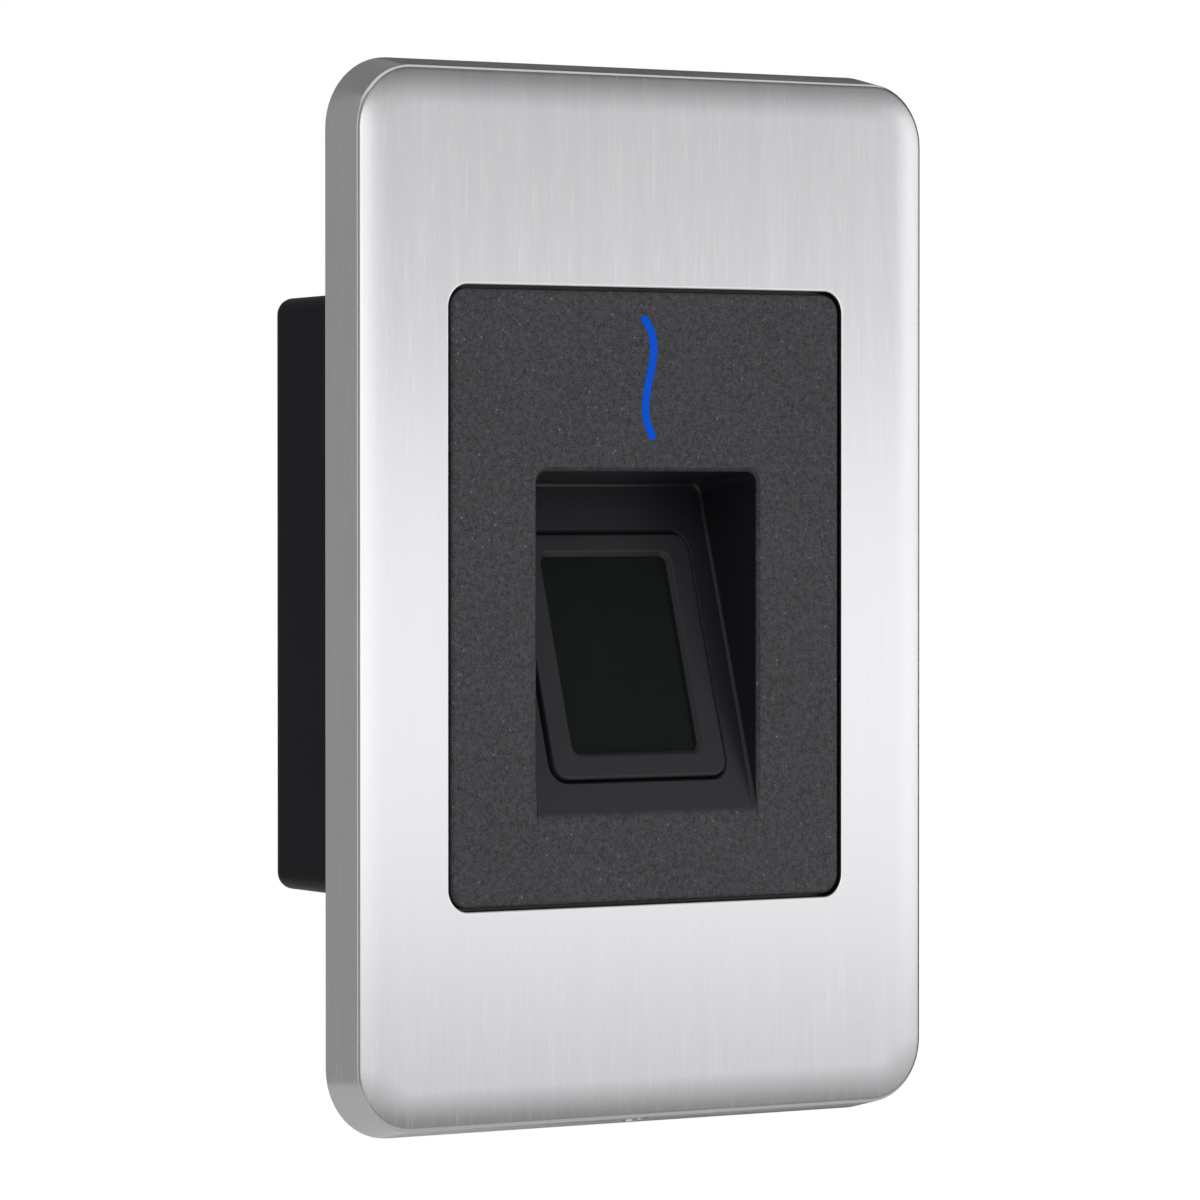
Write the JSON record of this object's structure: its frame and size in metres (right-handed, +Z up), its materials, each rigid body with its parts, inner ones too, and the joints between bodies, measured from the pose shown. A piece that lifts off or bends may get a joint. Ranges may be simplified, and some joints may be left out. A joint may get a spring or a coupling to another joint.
{
  "type": "fingerprint scanner terminal",
  "caption": "Wall-mounted fingerprint scanner with a brushed steel tray, sloping finger recess, wavy status light and a rear housing, hung on a wall bracket.",
  "frame": {"origin": "middle of the wall bracket's vertical screw pair, on the wall's surface", "axes": "+X to the right as a user faces it, +Y into the wall, +Z up"},
  "size_m": [0.085, 0.0442, 0.125],
  "materials": {
    "brushed_plate": "vertically brushed stainless steel",
    "zinc_sheet": "zinc-plated sheet",
    "screw_steel": "plated screws",
    "panel_plastic": "fine grained charcoal",
    "bezel_plastic": "satin charcoal",
    "housing_plastic": "satin black",
    "window_glass": "coated black glass",
    "clear_glass": "clear optical glass",
    "light_blue": "blue lit light guide",
    "seal_rubber": "matt black",
    "board_green": "solder-masked circuit board",
    "chip_black": "moulded black",
    "lamp_white": "lamp package",
    "can_aluminium": "drawn can",
    "socket_ivory": "moulded ivory",
    "contact_brass": "plated contact",
    "switch_blue": "moulded blue",
    "slider_white": "moulded white"
  },
  "bodies": {
    "bracket": {"wall_bracket": "zinc_sheet"},
    "terminal": {"face_plate": "brushed_plate", "plate_hangers": "zinc_sheet", "front_panel": "panel_plastic", "panel_tape": "seal_rubber", "light_guide": "light_blue", "status_board": "board_green", "status_leds": "lamp_white", "status_screws": "screw_steel", "sensor_bezel": "bezel_plastic", "sensor_window": "window_glass", "sensor_seal": "seal_rubber", "sensor_prism": "clear_glass", "sensor_cell": "housing_plastic", "sensor_screws": "screw_steel", "camera_board": "board_green", "image_sensor": "chip_black", "lens_barrel": "housing_plastic", "lens_glass": "clear_glass", "lamp_board": "board_green", "lamp_leds": "lamp_white", "housing_seal": "seal_rubber", "rear_housing": "housing_plastic", "housing_screws": "screw_steel", "main_board": "board_green", "board_screws": "screw_steel", "processor": "chip_black", "memory_chips": "chip_black", "line_driver": "chip_black", "capacitors": "can_aluminium", "power_coil": "chip_black", "buzzer": "chip_black", "signal_socket": "socket_ivory", "signal_pins": "contact_brass", "power_socket": "socket_ivory", "power_pins": "contact_brass", "address_switch": "switch_blue", "reset_switch": "chip_black", "tamper_switch": "chip_black"},
    "lock_screw_body": {"lock_screw": "screw_steel"},
    "reset_button_body": {"reset_button": "slider_white"},
    "tamper_plunger_body": {"tamper_plunger": "slider_white"},
    "address_slider_1_body": {"address_slider_1": "slider_white"},
    "address_slider_2_body": {"address_slider_2": "slider_white"},
    "address_slider_3_body": {"address_slider_3": "slider_white"},
    "address_slider_4_body": {"address_slider_4": "slider_white"},
    "address_slider_5_body": {"address_slider_5": "slider_white"},
    "address_slider_6_body": {"address_slider_6": "slider_white"}
  },
  "joints": [
    {"name": "terminal_tilt", "type": "hinge", "parent": "bracket", "child": "terminal", "pos_m": [0, 0, 0.0625], "axis": [-1, 0, 0], "range_deg": [0, 5]},
    {"name": "lock_screw_travel", "type": "slide", "parent": "bracket", "child": "lock_screw_body", "axis": [0, 0, -1], "range_m": [0, 0.0015]},
    {"name": "tamper_press", "type": "slide", "parent": "terminal", "child": "tamper_plunger_body", "axis": [0, 0, 1], "range_m": [-0.0008, 0], "stiffness_N_per_m": 300, "springref_m": 0.001},
    {"name": "reset_press", "type": "slide", "parent": "terminal", "child": "reset_button_body", "axis": [0, 1, 0], "range_m": [-0.0004, 0], "stiffness_N_per_m": 1000, "springref_m": 0.0003},
    {"name": "address_slider_1_travel", "type": "slide", "parent": "terminal", "child": "address_slider_1_body", "axis": [1, 0, 0], "range_m": [0, 0.0016]},
    {"name": "address_slider_2_travel", "type": "slide", "parent": "terminal", "child": "address_slider_2_body", "axis": [1, 0, 0], "range_m": [0, 0.0016]},
    {"name": "address_slider_3_travel", "type": "slide", "parent": "terminal", "child": "address_slider_3_body", "axis": [1, 0, 0], "range_m": [0, 0.0016]},
    {"name": "address_slider_4_travel", "type": "slide", "parent": "terminal", "child": "address_slider_4_body", "axis": [1, 0, 0], "range_m": [0, 0.0016]},
    {"name": "address_slider_5_travel", "type": "slide", "parent": "terminal", "child": "address_slider_5_body", "axis": [1, 0, 0], "range_m": [0, 0.0016]},
    {"name": "address_slider_6_travel", "type": "slide", "parent": "terminal", "child": "address_slider_6_body", "axis": [1, 0, 0], "range_m": [0, 0.0016]}
  ]
}
